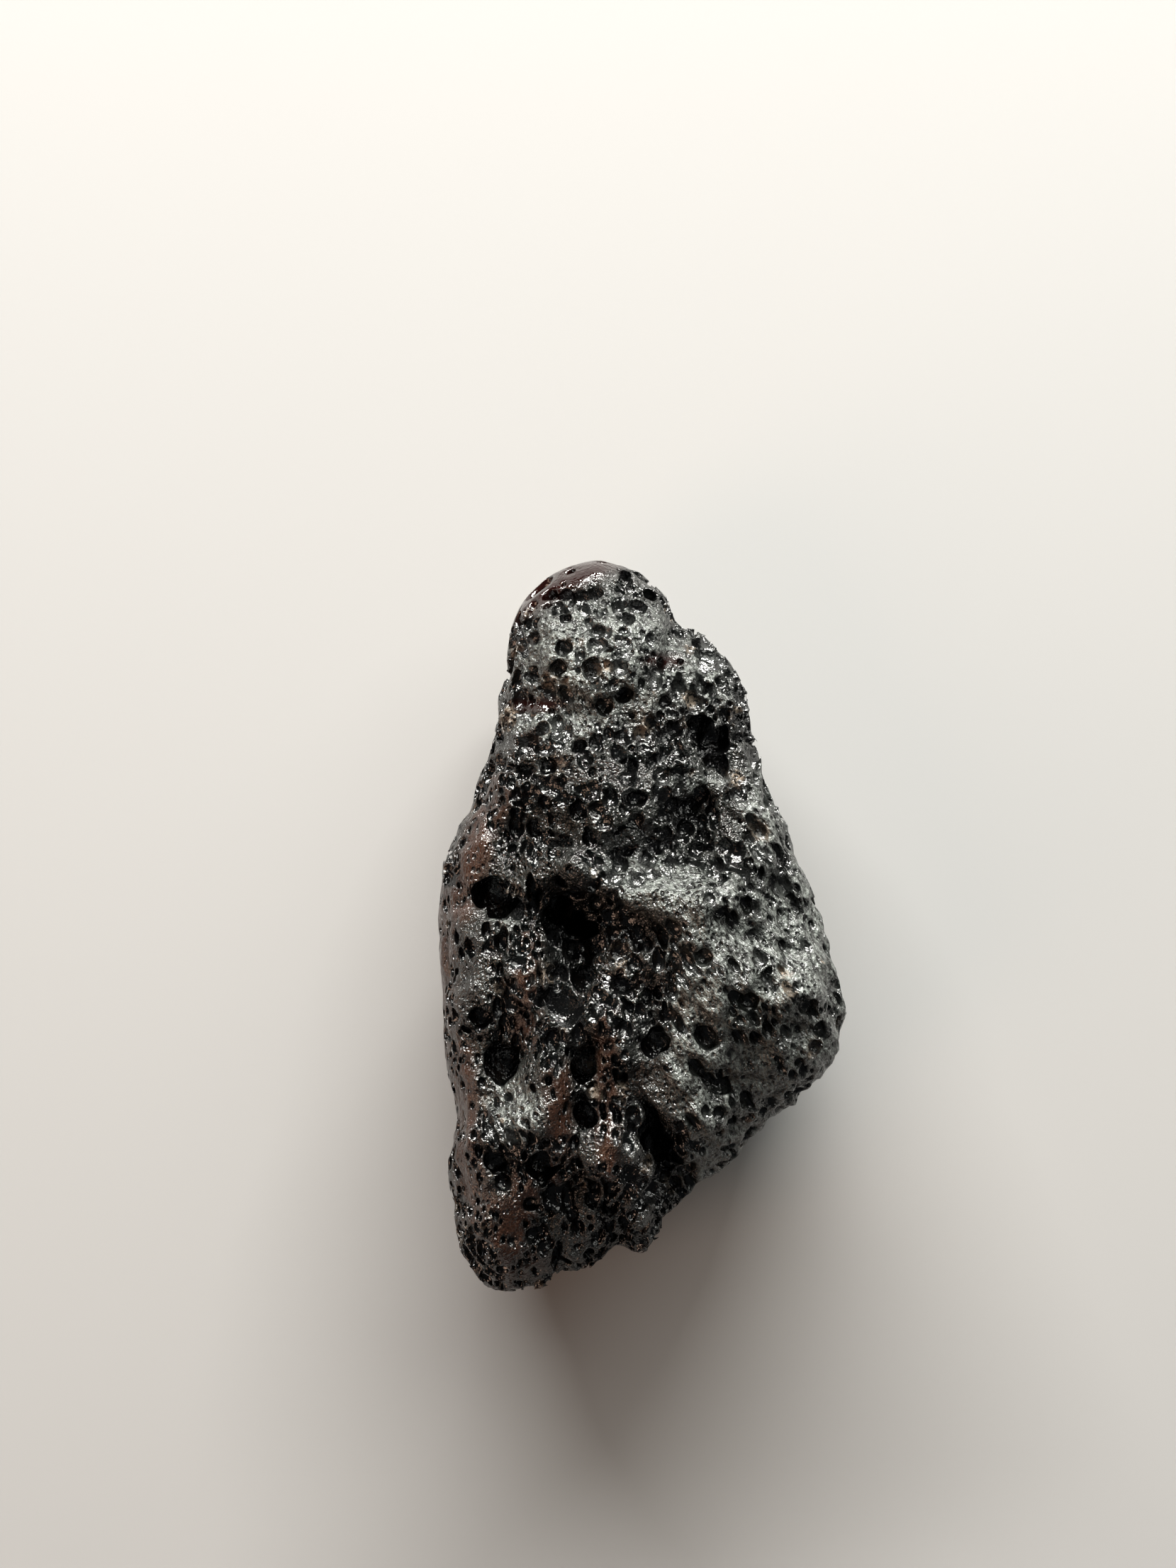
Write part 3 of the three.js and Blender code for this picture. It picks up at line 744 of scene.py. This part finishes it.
def pit_wall_share(mesh):
    """For each point, the share of its faces that are a bubble's wall."""
    finish = np.empty(len(mesh.polygons), np.int32)
    sides = np.empty(len(mesh.polygons), np.int32)
    corner_points = np.empty(len(mesh.loops), np.int32)
    mesh.polygons.foreach_get("material_index", finish)
    mesh.polygons.foreach_get("loop_total", sides)
    mesh.loops.foreach_get("vertex_index", corner_points)
    walls = np.bincount(corner_points, np.repeat(finish, sides), len(mesh.vertices))
    return walls / np.maximum(np.bincount(corner_points, minlength=len(mesh.vertices)), 1)


def dirt_share(points):
    """1 on the soil in the dirty pits."""
    seen = points[:, :2]
    dirt = sum(np.exp(-((np.linalg.norm(seen - place, axis=1) / DIRT_REACH) ** 4)) for place in DIRTY_PITS)
    choose = np.random.default_rng(11)
    for pit in pits:
        if choose.random() < DIRT_SHARE and pit.radius < DIRT_LARGEST and pit.at[2] > RIM_HEIGHT:
            away = np.linalg.norm(points - pit.at, axis=1) / pit.radius / DIRT_FILL
            dirt += DIRT_THICKNESS * np.exp(-(away**4))
    return dirt


walls = pit_wall_share(stone.data)
shares = {
    "pit_wall": walls,
    "satin": satin(points),
    "pale": pale(points),
    "flow": flow(points),
    "smooth": smooth(points),
    "hollow": hollow(points),
    "dirt": dirt_share(points) * (DIRT_ON_SKIN + (1 - DIRT_ON_SKIN) * walls),
}
for name, values in shares.items():
    stone.data.attributes.new(name, "FLOAT", "POINT").data.foreach_set("value", values)
stone.data.shade_smooth()

# -- its finish --

BLACK = (0.0145, 0.0146, 0.0135, 1)  # bare glass
PAINTED_SHADE = (0.002, 0.002, 0.002, 1)  # painted shade: near black in the pits, the etch pits and the left hollow, darker than the glass itself
FROST_AND_SHEEN_GREY = (0.112, 0.12, 0.111, 1)  # grey of the frosted skin, partly its own and partly a painted sheen
BROWN_TINT_AND_REFLECTION = (0.022, 0.0095, 0.0056, 1)  # the ribs: a painted brown reflection of warm surroundings, with a little tint of the thin glass that lets some light in
MAROON_REFLECTION_AND_SHADE = (0.007, 0.0015, 0.001, 1)  # smooth skin: a painted dark red reflection and shade
SOIL = (0.2, 0.155, 0.115, 1)
NOISE_ROUGHNESS = 0.55  # how much of the finer detail all the grain below has

black_glass = bpy.data.materials.new("black_glass")
black_glass.use_nodes = True
nodes, links = black_glass.node_tree.nodes, black_glass.node_tree.links
shader = nodes["Principled BSDF"]


def node(kind, **settings):
    """Adds a node."""
    made = nodes.new("ShaderNode" + kind)
    for name, value in settings.items():
        setattr(made, name, value)
    return made


def set_input(target, key, value):
    """Sets a node's input to a value, or links it to another node's output."""
    if isinstance(value, bpy.types.NodeSocket):
        links.new(value, target.inputs[key])
    else:
        target.inputs[key].default_value = value


def share(name):
    """One of the shares kept at the stone's points."""
    return node("Attribute", attribute_name=name).outputs["Fac"]


def calculated(operation, *values):
    """A sum, product or other result, held between 0 and 1."""
    made = node("Math", operation=operation, use_clamp=True)
    for number, value in enumerate(values):
        set_input(made, number, value)
    return made.outputs[0]


def mixed(amount, first, second):
    """Goes from the first number or colour to the second one. The node has other sockets for colours."""
    colours = isinstance(first, tuple) or isinstance(first, bpy.types.NodeSocketColor)
    made = node("Mix", data_type="RGBA" if colours else "FLOAT")
    set_input(made, "Factor", amount)
    set_input(made, 6 if colours else 2, first)
    set_input(made, 7 if colours else 3, second)
    return made.outputs[2 if colours else 0]


def ranged(value, low, high, interpolation="LINEAR"):
    """0 up to a low value, 1 from a high one, and between them a ramp."""
    made = node("MapRange", interpolation_type=interpolation)
    set_input(made, "Value", value)
    set_input(made, "From Min", low)
    set_input(made, "From Max", high)
    return made.outputs[0]


def placed(per_mm, turn=0):
    """The stone's own coordinates, turned about the upright and scaled."""
    turned = node("Mapping")
    set_input(turned, "Vector", node("TexCoord").outputs["Object"])
    set_input(turned, "Rotation", (0, 0, turn))
    scaled = node("Mapping")
    set_input(scaled, "Vector", turned.outputs[0])
    set_input(scaled, "Scale", Vector(per_mm) / MM)
    return scaled.outputs[0]


def grain_of(per_mm, detail, turn=0):
    """Irregular grain, from 0 to 1."""
    made = node("TexNoise")
    set_input(made, "Vector", placed(per_mm, turn))
    set_input(made, "Scale", 1)
    set_input(made, "Detail", detail)
    set_input(made, "Roughness", NOISE_ROUGHNESS)
    return made.outputs["Fac"]


def raised(height, high, strength=1, under=None):
    """Bumps of a height in millimetres, on top of others."""
    made = node("Bump")
    set_input(made, "Distance", high * MM)
    set_input(made, "Strength", strength)
    set_input(made, "Height", height)
    if under:
        set_input(made, "Normal", under)
    return made.outputs[0]


wall, dull, ribs = share("pit_wall"), share("satin"), share("flow")
bare, deep = share("smooth"), share("hollow")

# Grain too fine to model, in waves to the millimetre each way, and how high it stands.
FINE_PER_MM = (7, 7, 7)
LEANING_PER_MM = (11, 4.5, 8)
DRAWN_OUT_PER_MM = (9, 1.6, 9)
GRAIN_HIGH = 0.2
GRAIN_DETAIL = 2
DRAWN_OUT_DETAIL = 3
DRAWN_OUT_ON_RIBS = 0.5
LEANING_ON_SATIN = 0.55

# What is left of it on the ribs, in the pits, on smooth skin and in the left hollow.
RIB_GRAIN = 0.8
WALL_GRAIN = 0.32
SMOOTH_GRAIN = 0.2
HOLLOW_GRAIN = 0.7

fine = grain_of(FINE_PER_MM, GRAIN_DETAIL)
leaning = grain_of(LEANING_PER_MM, GRAIN_DETAIL, -GRAIN_LEAN)
drawn_out = grain_of(DRAWN_OUT_PER_MM, DRAWN_OUT_DETAIL)
skin_grain = mixed(ribs, fine, mixed(DRAWN_OUT_ON_RIBS, fine, drawn_out))
skin_grain = mixed(dull, skin_grain, mixed(LEANING_ON_SATIN, fine, leaning))
grain_share = calculated("MULTIPLY", mixed(ribs, 1, RIB_GRAIN), mixed(wall, 1, WALL_GRAIN))
grain_share = calculated("MULTIPLY", grain_share, mixed(bare, 1, SMOOTH_GRAIN))
grain_share = calculated("MULTIPLY", grain_share, mixed(deep, 1, HOLLOW_GRAIN))
grained = raised(skin_grain, GRAIN_HIGH, grain_share)

# Etch pits too small to cut, which come in crowds: how many to the millimetre, how deep, and how wide.
ETCH_PER_MM = (5.5, 4.6, 5.5)
ETCH_DEEP = 0.08
ETCH_FLOOR = 0.16
ETCH_EDGE = 0.42
ETCH_CROWDS_PER_MM = (1.3, 1.3, 1.3)
ETCH_CROWD_RANGE = (0.36, 0.56)
WALL_ETCH = 0.25
SMOOTH_ETCH = 0.15

etch_cells = node("TexVoronoi")
set_input(etch_cells, "Vector", placed(ETCH_PER_MM))
set_input(etch_cells, "Scale", 1)
etch_floor = ranged(etch_cells.outputs["Distance"], ETCH_FLOOR, ETCH_EDGE, "SMOOTHSTEP")
etch_crowd = ranged(grain_of(ETCH_CROWDS_PER_MM, GRAIN_DETAIL), *ETCH_CROWD_RANGE)
etch_crowd = calculated("MULTIPLY", etch_crowd, mixed(wall, 1, WALL_ETCH))
etch_crowd = calculated("MULTIPLY", etch_crowd, mixed(bare, 1, SMOOTH_ETCH))
etched_share = mixed(etch_crowd, 1, etch_floor)
set_input(shader, "Normal", raised(etched_share, ETCH_DEEP, under=grained))

# Frost with its painted sheen, and soil: how fine their edges are, and where in the grain they begin and are
# whole.
FROST_AND_SHEEN_PER_MM = (8, 5, 8)
FROST_AND_SHEEN_RANGE = (0.4, 0.62)
SOIL_PER_MM = (9, 9, 9)
SOIL_RANGE = (0.42, 0.55)
EDGE_DETAIL = 3

# How far one colour covers another.
BROWN_REFLECTION_IN_PITS = 0.2
SHADE_IN_PALE_PITS = 0.8
SHADE_IN_HOLLOW = 0.85

frost_and_sheen_edges = ranged(grain_of(FROST_AND_SHEEN_PER_MM, EDGE_DETAIL, -GRAIN_LEAN), *FROST_AND_SHEEN_RANGE)
frost_and_sheen = calculated("MULTIPLY", share("pale"), frost_and_sheen_edges)
soil = ranged(grain_of(SOIL_PER_MM, EDGE_DETAIL), *SOIL_RANGE)
soiled = calculated("MULTIPLY", share("dirt"), soil)
# Painted sheen, partly real frost: the pale skin takes a lighter grey.
colour = mixed(frost_and_sheen, BLACK, FROST_AND_SHEEN_GREY)
# Painted reflection: the ribs take a warm brown, with a little of the thin glass's own tint.
colour = mixed(calculated("MULTIPLY", ribs, mixed(wall, 1, BROWN_REFLECTION_IN_PITS)), colour, BROWN_TINT_AND_REFLECTION)
# Painted shade: the pit walls take near black, a little less on the pale skin.
colour = mixed(calculated("MULTIPLY", wall, mixed(share("pale"), 1, SHADE_IN_PALE_PITS)), colour, PAINTED_SHADE)
# Painted shade: the left hollow takes near black.
colour = mixed(calculated("MULTIPLY", deep, SHADE_IN_HOLLOW), colour, PAINTED_SHADE)
# Painted reflection and shade: the smooth tip and the glossy spots take a dark red.
colour = mixed(bare, colour, MAROON_REFLECTION_AND_SHADE)
# Painted shade: the floors of the etch pits take near black.
colour = mixed(etched_share, PAINTED_SHADE, colour)
set_input(shader, "Base Color", mixed(soiled, colour, SOIL))

# How matt each kind of skin is, and how far that varies.
SKIN_ROUGHNESS = 0.16
RIB_ROUGHNESS = 0.14
SATIN_ROUGHNESS = 0.2
WALL_ROUGHNESS = 0.14
SMOOTH_ROUGHNESS = 0.08
SOIL_ROUGHNESS = 0.8
MOTTLE = 0.125
MOTTLE_PER_MM = (2.2, 2.2, 2.2)
MOTTLE_DETAIL = 4
GLASS_IOR = 1.52

roughness = mixed(dull, mixed(ribs, SKIN_ROUGHNESS, RIB_ROUGHNESS), SATIN_ROUGHNESS)
roughness = mixed(wall, roughness, WALL_ROUGHNESS)
roughness = mixed(bare, roughness, SMOOTH_ROUGHNESS)
mottle = mixed(grain_of(MOTTLE_PER_MM, MOTTLE_DETAIL), -MOTTLE, MOTTLE)
mottled = calculated("MAXIMUM", calculated("ADD", roughness, mottle), SMOOTH_ROUGHNESS)
set_input(shader, "Roughness", mixed(soiled, mottled, SOIL_ROUGHNESS))
set_input(shader, "IOR", GLASS_IOR)

stone.data.materials.clear()
stone.data.materials.append(black_glass)
stone.data.polygons.foreach_set("material_index", np.zeros(len(stone.data.polygons), np.int32))
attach(stone, "root")
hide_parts("tektite")

# ---- The floor ----
# A wide sheet of pale matt paper, laid flat under the stone.

SHEET = 800
PALE = (0.235, 0.232, 0.228, 1)
PAPER_ROUGHNESS = 0.8
sheet_corners = np.array([(-1, -1, 0), (1, -1, 0), (1, 1, 0), (-1, 1, 0)]) * SHEET / 2
floor = mesh_piece("floor", sheet_corners, [(0, 1, 2, 3)])
pale_paper = bpy.data.materials.new("pale_paper")
pale_paper.use_nodes = True
paper_shader = pale_paper.node_tree.nodes["Principled BSDF"]
paper_shader.inputs["Base Color"].default_value = PALE
paper_shader.inputs["Roughness"].default_value = PAPER_ROUGHNESS
floor.data.materials.append(pale_paper)

# ---- The light ----
# Three soft boxes and a dim room. The low strip behind the stone puts bright rims on the pits and leaves
# their floors black, the box behind gives the skin its grey sheen, and the warm one browns the left side; the
# stone's colours add painted shade in the pits and the hollow, painted sheen on the grey skin and painted
# reflection on the brown ribs and the tip.

# Name, width and height, place, brightness and tint.
SOFT_BOXES = [
    ("low strip", (200, 17), (-10, 150, 85), 148, (1, 0.985, 0.94)),
    ("box behind", (190, 150), (70, 130, 110), 4.6, (0.99, 1, 0.94)),
    ("warm box at the left", (70, 140), (-135, -70, 90), 5, (1, 0.66, 0.48)),
]
AIM = Vector((0, 0, 4))
ROOM_TINT = (0.9, 0.95, 1, 1)
ROOM_BRIGHTNESS = 0.06

for name, size, at, brightness, tint in SOFT_BOXES:
    lamp = bpy.data.lights.new(name, "AREA")
    lamp.shape = "RECTANGLE"
    lamp.size, lamp.size_y = Vector(size) * MM
    lamp.energy = brightness * math.pi * lamp.size * lamp.size_y
    lamp.color = tint
    holder = bpy.data.objects.new(name, lamp)
    holder.location = Vector(at) * MM
    holder.rotation_euler = (AIM - Vector(at)).to_track_quat("-Z", "Y").to_euler()
    bpy.context.scene.collection.objects.link(holder)

room = bpy.data.worlds.new("room")
room.use_nodes = True
room.node_tree.nodes["Background"].inputs["Color"].default_value = ROOM_TINT
room.node_tree.nodes["Background"].inputs["Strength"].default_value = ROOM_BRIGHTNESS
bpy.context.scene.world = room
bpy.context.scene.view_settings.view_transform = "Standard"

# ---- The camera ----
# It looks straight down at the crown.

PICTURE = (1659, 2212)
MM_PER_PIXEL = 0.019436  # at the height of the widest outline
STONE_IN_PICTURE = (904.5, 1305.5)  # the pixel, from the top left, that the stone's own middle is seen at
VIEW_HEIGHT = 150  # above the widest outline
SENSOR = 36
NEAREST = 5  # the camera sees nothing closer to it than this

camera_data = bpy.data.cameras.new("camera")
camera_data.sensor_width = SENSOR
camera_data.lens = SENSOR * VIEW_HEIGHT / (PICTURE[1] * MM_PER_PIXEL)
camera_data.clip_start = NEAREST * MM
camera = bpy.data.objects.new("camera", camera_data)
right = (PICTURE[0] / 2 - STONE_IN_PICTURE[0]) * MM_PER_PIXEL
back = (STONE_IN_PICTURE[1] - PICTURE[1] / 2) * MM_PER_PIXEL
camera.location = Vector((right, back, RIM_HEIGHT + VIEW_HEIGHT)) * MM
bpy.context.scene.collection.objects.link(camera)
bpy.context.scene.camera = camera
